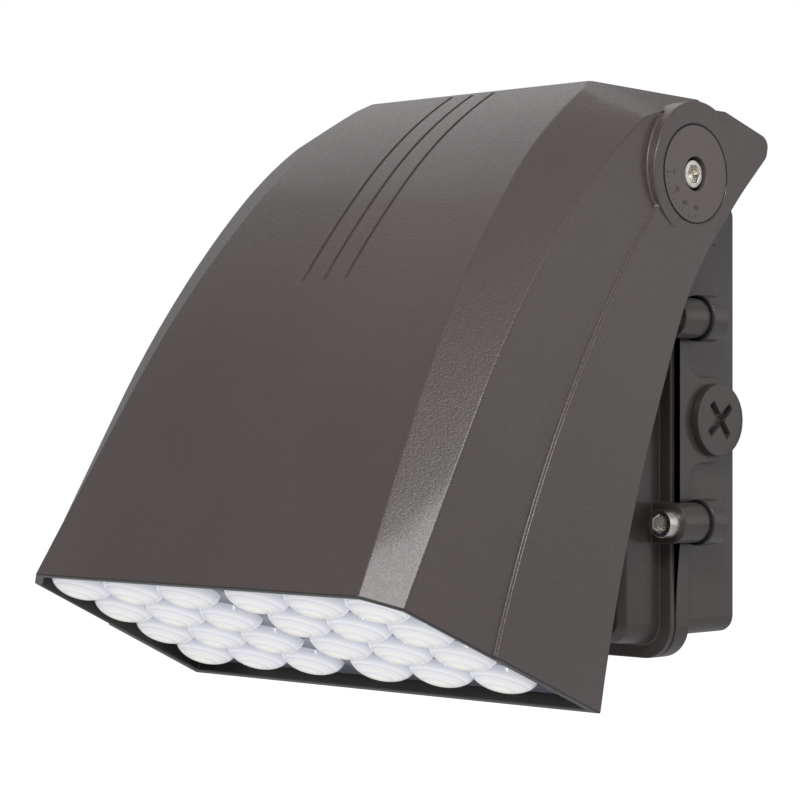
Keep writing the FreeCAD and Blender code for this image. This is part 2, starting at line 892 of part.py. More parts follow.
def arm_strip():
    """The prouder strip down the rear of a side panel, with the round hinge boss."""
    edges, rim = arm_rear_edges()
    low = Vector(0, -strip_rim, -rim_drop)
    middle = Vector(0, -strip_middle, -strip_middle_drop)
    top = Vector(0, -strip_top, -strip_top_drop)
    axis = Vector(0, 0, 0)
    notch = edges[1].Vertexes[0].Point
    edges = edges[1:] + [
        Part.LineSegment(rim, low).toShape(),
        Part.Arc(low, middle, top).toShape(),
        Part.LineSegment(top, axis).toShape(),
        Part.LineSegment(axis, notch).toShape(),
    ]
    strip = Part.Face(Part.Wire(edges)).extrude(Vector(far, 0, 0))
    strip.translate(Vector(box_half_width, 0, 0))
    strip = strip.common(side_wedge(strip_proud))
    return strip.fuse(arm_boss(boss_radius, box_half_width, dial_face_x)).removeSplitter()


def face_grooves():
    """Three shallow grooves that follow the curve of the face."""
    outer_edges, start, crown = face_edges(-groove_width, 0)
    inner_edges, inner_start, inner_crown = face_edges(groove_depth, 0)
    closing = [
        Part.LineSegment(start, inner_start).toShape(),
        Part.LineSegment(crown, inner_crown).toShape(),
    ]
    skin = Part.Face(Part.Wire(Part.__sortEdges__(outer_edges + inner_edges + closing)))
    grooves = []
    for x in (-groove_pitch, 0, groove_pitch):
        strip = skin.extrude(Vector(groove_width, 0, 0))
        strip.translate(Vector(x - groove_width / 2, 0, 0))
        window = block(x - groove_width, x + groove_width, -far, far, groove_foot_z, groove_top_z)
        grooves.append(strip.common(window))
    return grooves


def tray_fins():
    """Cooling fins between the face and the tray floor."""
    foot, knee, _, _, _ = face_joints()
    corners = [
        (Vector(0, foot.y, floor_low_z + 1), 0),
        (Vector(0, fin_rear_y, floor_low_z + 1), 0),
        (Vector(0, fin_top_rear_y, fin_top_z), 0),
        (Vector(0, foot.y, fin_top_z), 0),
    ]
    blank = Part.Face(loop(corners)).extrude(Vector(fin_thickness, 0, 0))
    fins = []
    for index in range(fin_count):
        fin = blank.copy()
        offset = (index - (fin_count - 1) / 2) * fin_pitch - fin_thickness / 2
        fin.translate(Vector(offset, 0, 0))
        fins.append(fin)
    return fins


def head_housing():
    room = hood_outer()
    outer = room.fuse(both_sides(arm_strip())).removeSplitter()
    shell = outer.cut(plain_room(hood_wall, side_wall))
    shell = shell.fuse([room.common(tool) for tool in corner_tools(hood_wall)])
    floor = room.common(block(-far, far, -far, far, floor_low_z, floor_top_z))
    rear = room.common(block(-far, far, arm_rear - tray_rear_wall, arm_rear, -rim_drop, floor_top_z))
    fins = [fin.common(room) for fin in tray_fins()]
    bearing_face = ear_face_x + hinge_face_gap
    bosses = both_sides(rod(boss_radius - boss_wall, Vector(bearing_face, 0, 0),
                            Vector(dial_face_x - dial_thickness, 0, 0)))
    shell = shell.fuse([floor, rear] + fins + bosses).removeSplitter()
    recess_floor = dial_face_x - dial_thickness - dial_gap
    pocket = rod(dial_radius + dial_gap, Vector(recess_floor, 0, 0), Vector(far, 0, 0))
    bore = rod(hinge_bore_radius, Vector(bearing_face - 1, 0, 0), Vector(far, 0, 0))
    holes = both_sides(pocket) + both_sides(bore) + face_grooves()
    holes.append(rod(gland_thread_radius, Vector(gland_x, gland_tray_y, floor_low_z - 1),
                     Vector(gland_x, gland_tray_y, floor_top_z + 1)))
    return shell.cut(holes).removeSplitter()


# Optics and boards, in the shut head frame

def tray_slab(inset, low, high):
    """Level slab that fills the tray, kept inset from its walls."""
    rear = arm_rear - tray_rear_wall - inset
    room = tray_room(hood_wall + inset, side_wall + inset)
    return room.common(block(-far, far, -far, rear, low, high))


def dome_places(side):
    places = []
    for column in range(lens_columns):
        for row in range(lens_rows):
            x = first_dome_x + column * dome_pitch_x
            y = last_dome_y - row * dome_pitch_y
            places.append((side * x, y))
    return places


def dome_ring(share, depth):
    """Corners of a dome's oval outline at a depth below its plate."""
    corners = []
    for facet in range(dome_facets):
        turn = 2 * math.pi * facet / dome_facets
        corners.append(Vector(dome_half_x * share * math.cos(turn),
                              dome_half_y * share * math.sin(turn), -depth))
    return corners


def dome():
    """Oval lens dome of flat facets, which hangs below its plate."""
    rings = [dome_ring(1.0, -dome_root)]
    for step in range(dome_steps + 1):
        rise = math.radians(dome_rise) * step / dome_steps
        depth = dome_height * math.sin(rise) / math.sin(math.radians(dome_rise))
        rings.append(dome_ring(math.cos(rise), depth))
    return flat_solid(rings)


def lens(side):
    half = block(lens_seam / 2, far, -far, far, -far, far)
    if side < 0:
        half = mirrored(half)
    body = tray_slab(lens_fit, lens_face_z, lens_back_z).common(half)
    shape = dome()
    bumps = []
    pockets = []
    for x, y in dome_places(side):
        bump = shape.copy()
        bump.translate(Vector(x, y, lens_face_z))
        bumps.append(bump)
        pockets.append(chip_block(x, y, chip_pocket, chip_pocket_depth))
    return body.fuse(bumps).cut(pockets).removeSplitter()


def chip_block(x, y, size, height):
    """Square block under the board, at a dome's centre."""
    half = size / 2
    return block(x - half, x + half, y - half, y + half, lens_back_z - height, lens_back_z)


def board_bounds():
    columns = [x for x, _ in dome_places(1)]
    rows = [y for _, y in dome_places(1)]
    reach = chip_size / 2 + board_margin
    return (min(columns) - dome_half_x, max(columns) + reach, min(rows) - reach, max(rows) + reach)


def led_board(side):
    x0, x1, y0, y1 = board_bounds()
    board = block(x0, x1, y0, y1, lens_back_z, floor_low_z)
    if side < 0:
        board = mirrored(board)
    return board


def led_chips(side):
    return Part.makeCompound([chip_block(x, y, chip_size, chip_height)
                              for x, y in dome_places(side)])


def lens_gasket():
    outer = tray_slab(lens_fit, lens_back_z, floor_low_z)
    inner = tray_slab(lens_fit + lens_gasket_width, lens_back_z - 1, floor_low_z + 1)
    return outer.cut(inner)


def lens_clips():
    """Small spring clips on the rear wall, whose lips hold the lens plates up."""
    wall = arm_rear - tray_rear_wall
    clips = []
    for x in (-clip_span, clip_shift, clip_span):
        x0 = x - clip_width / 2
        x1 = x + clip_width / 2
        leg = block(x0, x1, wall - lens_fit, wall, lens_face_z - clip_thickness, floor_low_z)
        lip = block(x0, x1, wall - lens_fit - clip_lip, wall,
                    lens_face_z - clip_thickness, lens_face_z)
        clips.append(leg.fuse(lip).removeSplitter())
    return Part.makeCompound(clips)


def tray_gland():
    return gland(Vector(gland_x, gland_tray_y, floor_top_z), Vector(0, 0, 1), tray_floor)


def swung(shape):
    """Moves a piece of the head from its shut frame to the tilt at which it rests."""
    placed = shape.copy()
    placed.rotate(Vector(0, 0, 0), Vector(1, 0, 0), -rest_tilt)
    placed.translate(pivot)
    return placed


def main():
    os.makedirs("parts", exist_ok=True)
    write("back_box", back_box())
    write("wall_gasket", wall_gasket())
    write("box_gasket", box_gasket())
    write("box_cover", box_cover())
    write("cover_screws", cover_screws())
    write("conduit_plugs", Part.makeCompound(both_sides(conduit_plug())))
    write("led_driver", led_driver())
    write("surge_protector", surge_protector())
    write("terminal_block", terminal_block())
    write("box_gland", box_gland())
    write("dial_caps", Part.makeCompound(both_sides(dial_cap())))
    write("tilt_bolts", tilt_bolts())
    write("head_housing", swung(head_housing()))
    write("lens_right", swung(lens(1)))
    write("lens_left", swung(lens(-1)))
    write("led_board_right", swung(led_board(1)))
    write("led_board_left", swung(led_board(-1)))
    write("led_chips_right", swung(led_chips(1)))
    write("led_chips_left", swung(led_chips(-1)))
    write("lens_gasket", swung(lens_gasket()))
    write("lens_clips", swung(lens_clips()))
    write("tray_gland", swung(tray_gland()))


main()
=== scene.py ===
import math

import bmesh
import bpy
from mathutils import Matrix, Vector
from mathutils.bvhtree import BVHTree


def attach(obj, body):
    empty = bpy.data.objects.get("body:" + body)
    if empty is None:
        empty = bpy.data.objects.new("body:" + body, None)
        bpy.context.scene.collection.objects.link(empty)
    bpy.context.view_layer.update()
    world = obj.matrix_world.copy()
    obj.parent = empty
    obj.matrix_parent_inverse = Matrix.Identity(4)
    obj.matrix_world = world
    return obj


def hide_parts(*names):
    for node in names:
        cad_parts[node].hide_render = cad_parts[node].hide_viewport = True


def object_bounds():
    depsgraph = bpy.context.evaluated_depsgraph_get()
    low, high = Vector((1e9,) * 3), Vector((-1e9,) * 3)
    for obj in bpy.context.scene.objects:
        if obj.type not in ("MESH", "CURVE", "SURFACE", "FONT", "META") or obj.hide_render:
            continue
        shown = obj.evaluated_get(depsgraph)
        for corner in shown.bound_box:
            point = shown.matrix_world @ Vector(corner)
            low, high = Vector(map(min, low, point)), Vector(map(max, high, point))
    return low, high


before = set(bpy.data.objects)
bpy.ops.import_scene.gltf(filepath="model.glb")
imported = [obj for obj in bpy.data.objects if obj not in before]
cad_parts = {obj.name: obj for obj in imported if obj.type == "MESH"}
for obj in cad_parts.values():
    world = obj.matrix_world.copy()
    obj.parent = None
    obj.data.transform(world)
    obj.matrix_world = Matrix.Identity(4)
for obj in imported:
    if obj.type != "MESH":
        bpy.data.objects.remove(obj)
cad_low, cad_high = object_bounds()

# Camera: a long lens at the height of the wire entry, to the right of the light and
# well in front of the wall, so the light's right side and its face show together.
CAMERA_TURN = math.radians(44.8)
CAMERA_PLACE = Vector((0.6964, -0.7981, 0.0049))
CAMERA_LENS = 124.72
CAMERA_SENSOR = 36.0
CAMERA_SHIFT = 0.0081
camera_data = bpy.data.cameras.new("camera")
camera_data.lens = CAMERA_LENS
camera_data.sensor_width = CAMERA_SENSOR
camera_data.shift_y = CAMERA_SHIFT
camera = bpy.data.objects.new("camera", camera_data)
camera.location = CAMERA_PLACE
camera.rotation_euler = (math.pi / 2, 0.0, CAMERA_TURN)
bpy.context.scene.collection.objects.link(camera)
bpy.context.scene.camera = camera
bpy.context.scene.view_settings.view_transform = "Standard"


# Studio: a dim even room that the camera sees as white, a pale floor well below the
# light, and four soft lamps: above and behind, in front, beside the wall and over the
# near chamfer.
ROOM_LIGHT = 0.36
FLOOR_DROP = 0.32
FLOOR_HALF = 6.0
FLOOR_COLOUR = (0.80, 0.80, 0.81, 1.0)
FLOOR_ROUGHNESS = 0.9
FLOOR_LIFT = 0.80
WHITE = (1.0, 1.0, 1.0, 1.0)
LAMP_AIM = Vector((0.0, -0.1, 0.0))


def feed(tree, socket, value):
    """Links a socket to another node's output, or gives it a plain value."""
    if isinstance(value, bpy.types.NodeSocket):
        tree.links.new(value, socket)
    else:
        socket.default_value = value


def reckon(tree, operation, first, second=0.0):
    """Result of a Math node on two values, each a socket or a plain number."""
    node = tree.nodes.new("ShaderNodeMath")
    node.operation = operation
    feed(tree, node.inputs[0], first)
    feed(tree, node.inputs[1], second)
    return node.outputs["Value"]


def plain_material(name, colour, roughness):
    """New material with its node tree and its shader."""
    material = bpy.data.materials.new(name)
    material.use_nodes = True
    shader = material.node_tree.nodes["Principled BSDF"]
    shader.inputs["Base Color"].default_value = colour
    shader.inputs["Roughness"].default_value = roughness
    return material, material.node_tree, shader


def softbox(name, direction, distance, size, power):
    """Rectangular lamp at a distance from the light, facing it."""
    lamp = bpy.data.lights.new(name, "AREA")
    lamp.shape = "RECTANGLE"
    lamp.size, lamp.size_y = size
    lamp.energy = power
    stand = bpy.data.objects.new(name, lamp)
    stand.location = LAMP_AIM + Vector(direction).normalized() * distance
    facing = LAMP_AIM - stand.location
    stand.rotation_euler = facing.to_track_quat("-Z", "Y").to_euler()
    bpy.context.scene.collection.objects.link(stand)


world = bpy.data.worlds.new("pale_room")
world.use_nodes = True
bpy.context.scene.world = world
tree = world.node_tree
room = tree.nodes["Background"]
seen = tree.nodes.new("ShaderNodeBackground")
room.inputs["Color"].default_value = WHITE
room.inputs["Strength"].default_value = ROOM_LIGHT
seen.inputs["Color"].default_value = WHITE
rays = tree.nodes.new("ShaderNodeLightPath").outputs
mix = tree.nodes.new("ShaderNodeMixShader")
feed(tree, mix.inputs["Fac"],
     reckon(tree, "MAXIMUM", rays["Is Camera Ray"], rays["Is Transmission Ray"]))
feed(tree, mix.inputs[1], room.outputs["Background"])
feed(tree, mix.inputs[2], seen.outputs["Background"])
feed(tree, tree.nodes["World Output"].inputs["Surface"], mix.outputs["Shader"])

floor_finish, tree, shader = plain_material("pale_floor", FLOOR_COLOUR, FLOOR_ROUGHNESS)
rays = tree.nodes.new("ShaderNodeLightPath").outputs
lift = tree.nodes.new("ShaderNodeEmission")
lift.inputs["Color"].default_value = WHITE
feed(tree, lift.inputs["Strength"], reckon(tree, "MULTIPLY", rays["Is Camera Ray"], FLOOR_LIFT))
add = tree.nodes.new("ShaderNodeAddShader")
feed(tree, add.inputs[0], shader.outputs["BSDF"])
feed(tree, add.inputs[1], lift.outputs["Emission"])
feed(tree, tree.nodes["Material Output"].inputs["Surface"], add.outputs["Shader"])

floor_mesh = bpy.data.meshes.new("floor")
bm = bmesh.new()
bmesh.ops.create_grid(bm, x_segments=1, y_segments=1, size=FLOOR_HALF)
bmesh.ops.translate(bm, verts=bm.verts, vec=(0.0, 0.0, cad_low[2] - FLOOR_DROP))
bm.to_mesh(floor_mesh)
bm.free()
floor_mesh.materials.append(floor_finish)
floor = bpy.data.objects.new("floor", floor_mesh)
bpy.context.scene.collection.objects.link(floor)

softbox("back_top_lamp", (-0.62, 0.36, 0.70), 1.6, (1.1, 0.9), 2.3)
softbox("front_lamp", (0.31, -0.93, 0.12), 1.7, (0.14, 1.4), 6.0)
softbox("wall_side_lamp", (0.75, 0.62, 0.20), 1.8, (1.0, 1.2), 2.6)
softbox("chamfer_lamp", (0.55, -0.56, 0.61), 1.1, (0.50, 0.30), 6.4)


# Back box: the aluminium casting that is screwed to the wall.  Its cast edges are rounded,
# and it is powder coated bronze: a satin coat with a fine leathery relief and grains painted
# light as painted glints.
BOX = "back_box_body"
HEAD = "head"
MERGE = 0.000002
FLAT = math.radians(0.6)
CREASE = math.radians(22.0)
SMOOTH = math.radians(32.0)
STRAY = 0.7
BOX_EDGE = 0.0006
GRAIN_SCALE = 1250.0
GRAIN_DEPTH = 0.0003
CLOUD_SCALE = 9.0
CLOUD_SHARE = 0.05
FLAKE_SCALE = 2600.0
FLAKE_REACH = 0.30
FLAKE_SHARE = 0.34
SATIN = (0.34, 0.50)
LACQUER = 0.30
LACQUER_ROUGHNESS = 0.14
COLOUR = "NodeSocketColor"
VALUE = "NodeSocketFloat"
NORMAL = "NodeSocketVector"


def shade(red, green, blue):
    """Colour as it looks on a screen, 0 to 255, made linear."""
    return tuple((part / 255.0) ** 2.2 for part in (red, green, blue)) + (1.0,)


def object_place(tree):
    """Place on the object in metres, so that a pattern keeps its real size."""
    return tree.nodes.new("ShaderNodeTexCoord").outputs["Object"]


def noise(tree, place, scale, detail):
    """Cloudy pattern, most of it between 0.3 and 0.7."""
    node = tree.nodes.new("ShaderNodeTexNoise")
    node.inputs["Scale"].default_value = scale
    node.inputs["Detail"].default_value = detail
    feed(tree, node.inputs["Vector"], place)
    return node.outputs["Fac"]


def cells(tree, place, scale):
    """Distance from the middles of irregular cells."""
    node = tree.nodes.new("ShaderNodeTexVoronoi")
    node.inputs["Scale"].default_value = scale
    feed(tree, node.inputs["Vector"], place)
    return node.outputs["Distance"]


def spread(tree, value, to_low, to_high, low=0.3, high=0.7):
    """Pattern between low and high, stretched to another range."""
    node = tree.nodes.new("ShaderNodeMapRange")
    node.inputs["From Min"].default_value = low
    node.inputs["From Max"].default_value = high
    node.inputs["To Min"].default_value = to_low
    node.inputs["To Max"].default_value = to_high
    feed(tree, node.inputs["Value"], value)
    return node.outputs["Result"]


def tint(tree, factor, first, second):
    """Mix of two colours, each a socket or a plain colour."""
    node = tree.nodes.new("ShaderNodeMix")
    node.data_type = "RGBA"
    feed(tree, node.inputs[0], factor)
    feed(tree, node.inputs[6], first)
    feed(tree, node.inputs[7], second)
    return node.outputs[2]


def relief(tree, height, strength, depth):
    """Normal of a surface that a pattern raises by up to a depth."""
    node = tree.nodes.new("ShaderNodeBump")
    node.inputs["Distance"].default_value = depth
    feed(tree, node.inputs["Strength"], strength)
    feed(tree, node.inputs["Height"], height)
    return node.outputs["Normal"]


def powder_group():
    """Shader group of the powder coat: grain, grains painted light as painted glints, and a
    faint clouding.
    """
    tree = bpy.data.node_groups.new("powder_relief", "ShaderNodeTree")
    for label, kind in (("Colour", COLOUR), ("Painted Glint", COLOUR), ("Relief", VALUE)):
        tree.interface.new_socket(label, in_out="INPUT", socket_type=kind)
    for label, kind in (("Colour", COLOUR), ("Roughness", VALUE), ("Normal", NORMAL)):
        tree.interface.new_socket(label, in_out="OUTPUT", socket_type=kind)
    given = tree.nodes.new("NodeGroupInput").outputs
    made = tree.nodes.new("NodeGroupOutput").inputs
    place = object_place(tree)
    grain = noise(tree, place, GRAIN_SCALE, 3.0)
    cloud = spread(tree, noise(tree, place, CLOUD_SCALE, 2.0), 0.0, CLOUD_SHARE)
    # Flakes: cells whose middles are painted toward the light glint colour, a painted glint.
    flake = spread(tree, cells(tree, place, FLAKE_SCALE), FLAKE_SHARE, 0.0, 0.0, FLAKE_REACH)
    base = tint(tree, cloud, given["Colour"], given["Painted Glint"])
    feed(tree, made["Colour"], tint(tree, flake, base, given["Painted Glint"]))
    feed(tree, made["Roughness"], spread(tree, grain, *SATIN))
    feed(tree, made["Normal"], relief(tree, grain, given["Relief"], GRAIN_DEPTH))
    return tree


powder_relief = powder_group()


def powder_coat(name, colour, painted_glint, strength):
    """Powder coated finish in a colour, with its own painted glint colour and strength of
    relief.
    """
    material, tree, shader = plain_material(name, colour, SATIN[1])
    coat = tree.nodes.new("ShaderNodeGroup")
    coat.node_tree = powder_relief
    coat.inputs["Colour"].default_value = colour
    coat.inputs["Painted Glint"].default_value = painted_glint
    coat.inputs["Relief"].default_value = strength
    feed(tree, shader.inputs["Base Color"], coat.outputs["Colour"])
    feed(tree, shader.inputs["Roughness"], coat.outputs["Roughness"])
    feed(tree, shader.inputs["Normal"], coat.outputs["Normal"])
    shader.inputs["Coat Weight"].default_value = LACQUER
    shader.inputs["Coat Roughness"].default_value = LACQUER_ROUGHNESS
    return material


def merged(node):
    """Copy of a CAD node's mesh with its doubles merged and its flat faces made whole."""
    bm = bmesh.new()
    bm.from_mesh(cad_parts[node].data)
    bmesh.ops.remove_doubles(bm, verts=bm.verts, dist=MERGE)
    bmesh.ops.dissolve_limit(bm, angle_limit=FLAT, verts=bm.verts, edges=bm.edges)
    return bm


def has_room(edge, width):
    """Whether both faces beside an edge are wide enough for it to be rounded."""
    length = max(edge.calc_length(), MERGE)
    return all(face.calc_area() / length > width for face in edge.link_faces)


def turns_past(edge, angle):
    """Whether two faces meet at an edge and turn by more than an angle there."""
    return len(edge.link_faces) == 2 and edge.calc_face_angle() > angle


def creases(bm, angle=CREASE):
    """Edges at which the surface turns by more than an angle, without those of slivers."""
    return [edge for edge in bm.edges if turns_past(edge, angle) and has_room(edge, 0.0)]


def round_off(bm, edges, width, segments=3):
    """Rounds edges off; a corner that the rounding throws out comes back to the old surface."""
    surface = BVHTree.FromBMesh(bm)
    bmesh.ops.bevel(bm, geom=edges, offset=width, offset_type="OFFSET", segments=segments,
                    profile=0.5, affect="EDGES", clamp_overlap=False, material=-1)
    for vert in bm.verts:
        spot, _, _, distance = surface.find_nearest(vert.co)
        if distance > STRAY * width:
            vert.co = spot
    bmesh.ops.dissolve_degenerate(bm, edges=bm.edges, dist=MERGE)


def make_piece(name, bm, body, slot, finish, *stands_for):
    """Turns a mesh in the making into a finished piece that rides on its body."""
    mesh = bpy.data.meshes.new(name)
    bm.to_mesh(mesh)
    bm.free()
    mesh.shade_smooth()
    mesh.set_sharp_from_angle(angle=SMOOTH)
    mesh.materials.clear()
    mesh.materials.append(finish)
    piece = bpy.data.objects.new(name, mesh)
    bpy.context.scene.collection.objects.link(piece)
    weigh = piece.modifiers.new("weighted_normals", "WEIGHTED_NORMAL")
    weigh.keep_sharp = True
    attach(piece, body)
    if stands_for:
        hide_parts(*stands_for)
    return piece


# Light colour of the painted glints in the bronze coat; the faint clouding also drifts toward
# it.
BRONZE_PAINTED_GLINT = shade(150, 143, 140)
# The box's copy of the bronze coat is painted darker than the head's, as painted shade for its
# place behind the head.
box_bronze_painted_shade = powder_coat("box_bronze_painted_shade", shade(63, 57, 56), BRONZE_PAINTED_GLINT, 0.30)
bm = merged("back_box")
round_off(bm, creases(bm), BOX_EDGE)
make_piece("back_box_casting", bm, BOX, "bronze_powder_coat", box_bronze_painted_shade, "back_box")


# Wall seal: a strip of black foam round the wall side of the box, pressed into its groove,
# with the open cells that such foam shows, each painted darker toward its hollow middle as
# painted shade.
FOAM_CELLS = 1300.0
FOAM_DEPTH = 0.0003


def repaint(node, material):
    """Gives a carried-over CAD node its finish."""
    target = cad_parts[node]
    if not target.material_slots:
        target.data.materials.append(None)
    for slot in target.material_slots:
        slot.link = "OBJECT"
        slot.material = material


foam, tree, shader = plain_material("black_foam", shade(24, 24, 25), 0.95)
pits = cells(tree, object_place(tree), FOAM_CELLS)
# Colour darker at the middle of each cell: painted shade in the pits.
feed(tree, shader.inputs["Base Color"],
     tint(tree, spread(tree, pits, 0.0, 1.0, 0.1, 0.6), shade(10, 10, 11), shade(38, 38, 40)))
feed(tree, shader.inputs["Normal"], relief(tree, pits, 0.6, FOAM_DEPTH))
repaint("wall_gasket", foam)


# Box seal: a moulded black silicone frame that closes the gap between the two castings,
# satin, with a faint bloom of dust.
DUST_SCALE = 420.0
silicone, tree, shader = plain_material("black_silicone", shade(20, 20, 21), 0.6)
dust = noise(tree, object_place(tree), DUST_SCALE, 4.0)
feed(tree, shader.inputs["Base Color"],
     tint(tree, spread(tree, dust, 0.0, 0.6, 0.4, 0.75), shade(17, 17, 18), shade(44, 43, 43)))
feed(tree, shader.inputs["Roughness"], spread(tree, dust, 0.45, 0.75))
repaint("box_gasket", silicone)


# Cover: the second casting, with a raised middle, a bevelled front and four barrels for
# its screws, in the same bronze coat as the box.
COVER_EDGE = 0.0005
bm = merged("box_cover")
round_off(bm, creases(bm), COVER_EDGE)
make_piece("box_cover_casting", bm, BOX, "bronze_powder_coat", box_bronze_painted_shade, "box_cover")


# Lug rings: a thin black ring round each barrel of the cover, where the barrel enters its
# lug on the box, that paints the shade of the gap there.
LUG_X = 0.0812
LUG_Z = 0.036
LUG_MOUTH = -0.0300
RING_INNER = 0.0072
RING_THICK = 0.0005
RING_SIDES = 10
RING_STEPS = 48
ALONG_Y = Matrix.Rotation(math.pi / 2, 4, "X")


def mottled(name, dark, light, scale, detail, roughness, wander=0.0):
    """Finish that wanders between two shades and, where wander is given, in roughness."""
    material, tree, shader = plain_material(name, light, roughness)
    pattern = noise(tree, object_place(tree), scale, detail)
    feed(tree, shader.inputs["Base Color"], tint(tree, pattern, dark, light))
    if wander:
        feed(tree, shader.inputs["Roughness"],
             spread(tree, pattern, roughness - wander, roughness + wander))
    return material, shader


def edges_of(verts):
    """Edges at some vertices, each once."""
    return list(dict.fromkeys(edge for vert in verts for edge in vert.link_edges))


def place_fresh(bm, before, turn):
    """Turns and places the vertices that weren't there before."""
    fresh = [vert for vert in bm.verts if vert not in before]
    bmesh.ops.transform(bm, verts=fresh, matrix=turn)


def add_ring(bm, radius, thick, sides, turn):
    """Round ring of round section, spun about Z and then turned and placed by turn."""
    before = set(bm.verts)
    start = bmesh.ops.create_circle(bm, segments=sides, radius=thick)["verts"]
    bmesh.ops.rotate(bm, verts=start, matrix=Matrix.Rotation(math.pi / 2, 3, "X"))
    bmesh.ops.translate(bm, verts=start, vec=(radius, 0.0, 0.0))
    bmesh.ops.spin(bm, geom=start + edges_of(start), cent=(0.0, 0.0, 0.0),
                   axis=(0.0, 0.0, 1.0), angle=2 * math.pi, steps=RING_STEPS, use_merge=True)
    place_fresh(bm, before, turn)


# Near-black finish of the rings that paint the shade in the gaps at the lugs and dials.
gap_shade_black, _ = mottled("black_rubber", shade(10, 10, 11), shade(30, 30, 31), 900.0, 3.0, 0.7)
bm = bmesh.new()
for x in (-LUG_X, LUG_X):
    for z in (-LUG_Z, LUG_Z):
        add_ring(bm, RING_INNER + RING_THICK, RING_THICK, RING_SIDES,
                 Matrix.Translation((x, LUG_MOUTH - RING_THICK, z)) @ ALONG_Y)
bmesh.ops.recalc_face_normals(bm, faces=bm.faces)
make_piece("lug_gap_painted_shade", bm, BOX, "black_rubber", gap_shade_black)


# Cover screws: four stainless M6 socket screws with a knurled head and a turned rim,
# driven home through the barrels of the cover into the lugs of the box.
HEAD_RADIUS = 0.0050
HEAD_HEIGHT = 0.0060
SHANK_RADIUS = 0.0030
SOCKET_HALF = 0.0029
SOCKET_DEPTH = 0.0032
SOCKET_BEVEL = 0.0002
KNURLS = 36
KNURL_DEPTH = 0.00012
RIM_BEVEL = 0.0006
COVER_SCREW_SEAT = -0.0445
COVER_SCREW_LENGTH = 0.0217


def add_loop(bm, radius, height, knurl=0.0, hexagonal=False):
    """Closed loop at a height: round, knurled or six sided, one vertex per half knurl."""
    made = bmesh.ops.create_circle(bm, segments=2 * KNURLS, radius=radius)["verts"]
    for index, vert in enumerate(made):
        turn = math.atan2(vert.co.y, vert.co.x)
        reach = radius - knurl * (index % 2)
        if hexagonal:
            reach = radius / math.cos((turn + math.pi / 6) % (math.pi / 3) - math.pi / 6)
        vert.co = Vector((reach * math.cos(turn), reach * math.sin(turn), height))
    return edges_of(made)


def add_socket_screw(bm, length, turn):
    """Socket screw whose head stands on the origin along Z, turned and placed by turn."""
    before = set(bm.verts)
    loops = [
        add_loop(bm, SHANK_RADIUS, -length),
        add_loop(bm, SHANK_RADIUS, 0.0),
        add_loop(bm, HEAD_RADIUS, 0.0),
        add_loop(bm, HEAD_RADIUS, RIM_BEVEL, KNURL_DEPTH),
        add_loop(bm, HEAD_RADIUS, HEAD_HEIGHT - 2 * RIM_BEVEL, KNURL_DEPTH),
        add_loop(bm, HEAD_RADIUS - RIM_BEVEL / 3, HEAD_HEIGHT - RIM_BEVEL / 3),
        add_loop(bm, HEAD_RADIUS - RIM_BEVEL, HEAD_HEIGHT),
        add_loop(bm, SOCKET_HALF + SOCKET_BEVEL, HEAD_HEIGHT, hexagonal=True),
        add_loop(bm, SOCKET_HALF, HEAD_HEIGHT - SOCKET_BEVEL, hexagonal=True),
        add_loop(bm, SOCKET_HALF, HEAD_HEIGHT - SOCKET_DEPTH, hexagonal=True),
    ]
    for lower, upper in zip(loops, loops[1:]):
        bmesh.ops.bridge_loops(bm, edges=lower + upper)
    bmesh.ops.holes_fill(bm, edges=loops[0] + loops[-1])
    place_fresh(bm, before, turn)


steel, shader = mottled("stainless_steel", shade(190, 187, 178), shade(232, 230, 224),
                        2500.0, 3.0, 0.32, 0.10)
shader.inputs["Metallic"].default_value = 1.0
bm = bmesh.new()
for x in (-LUG_X, LUG_X):
    for z in (-LUG_Z, LUG_Z):
        add_socket_screw(bm, COVER_SCREW_LENGTH,
                         Matrix.Translation((x, COVER_SCREW_SEAT, z)) @ ALONG_Y)
bmesh.ops.recalc_face_normals(bm, faces=bm.faces)
make_piece("cover_socket_screws", bm, BOX, "stainless_steel", steel, "cover_screws")


# Conduit plugs: bronze coated plugs screwed into the entries on both sides of the box,
# each with a rounded rim and a cross cut for the driver.
PLUG_SEAT = Vector((0.0780, -0.0160, 0.0))
PLUG_RADIUS = 0.0130
PLUG_HEIGHT = 0.0030
PLUG_SHANK = 0.0104
PLUG_SHANK_LENGTH = 0.0110
PLUG_EDGE = 0.0005
PLUG_STEPS = 72
CROSS_LENGTH = 0.0076
CROSS_HALF = 0.00135
CROSS_DEPTH = 0.0026
CROSS_TURN = math.radians(38.0)


def on_side(side, seat):
    """Stands what is drawn along Z on a seat of the right side, or of the left if side is -1."""
    spot = Matrix.Translation((side * seat.x, seat.y, seat.z))
    return spot @ Matrix.Rotation(side * math.pi / 2, 4, "Y")


def add_cross(bm):
    """Outline of the cross cut in the middle of a plug's face."""
    corners = []
    for quarter in range(4):
        turn = Matrix.Rotation(CROSS_TURN + quarter * math.pi / 2, 3, "Z")
        for along, across in ((CROSS_LENGTH, -CROSS_HALF), (CROSS_LENGTH, CROSS_HALF),
                              (CROSS_HALF, CROSS_HALF)):
            corners.append(bm.verts.new(turn @ Vector((along, across, PLUG_HEIGHT))))
    return [bm.edges.new((corner, corners[index - 1])) for index, corner in enumerate(corners)]


def plug_loop(bm, radius, height):
    """Round closed loop of a plug at a height."""
    made = bmesh.ops.create_circle(bm, segments=PLUG_STEPS, radius=radius)["verts"]
    bmesh.ops.translate(bm, verts=made, vec=(0.0, 0.0, height))
    return edges_of(made)


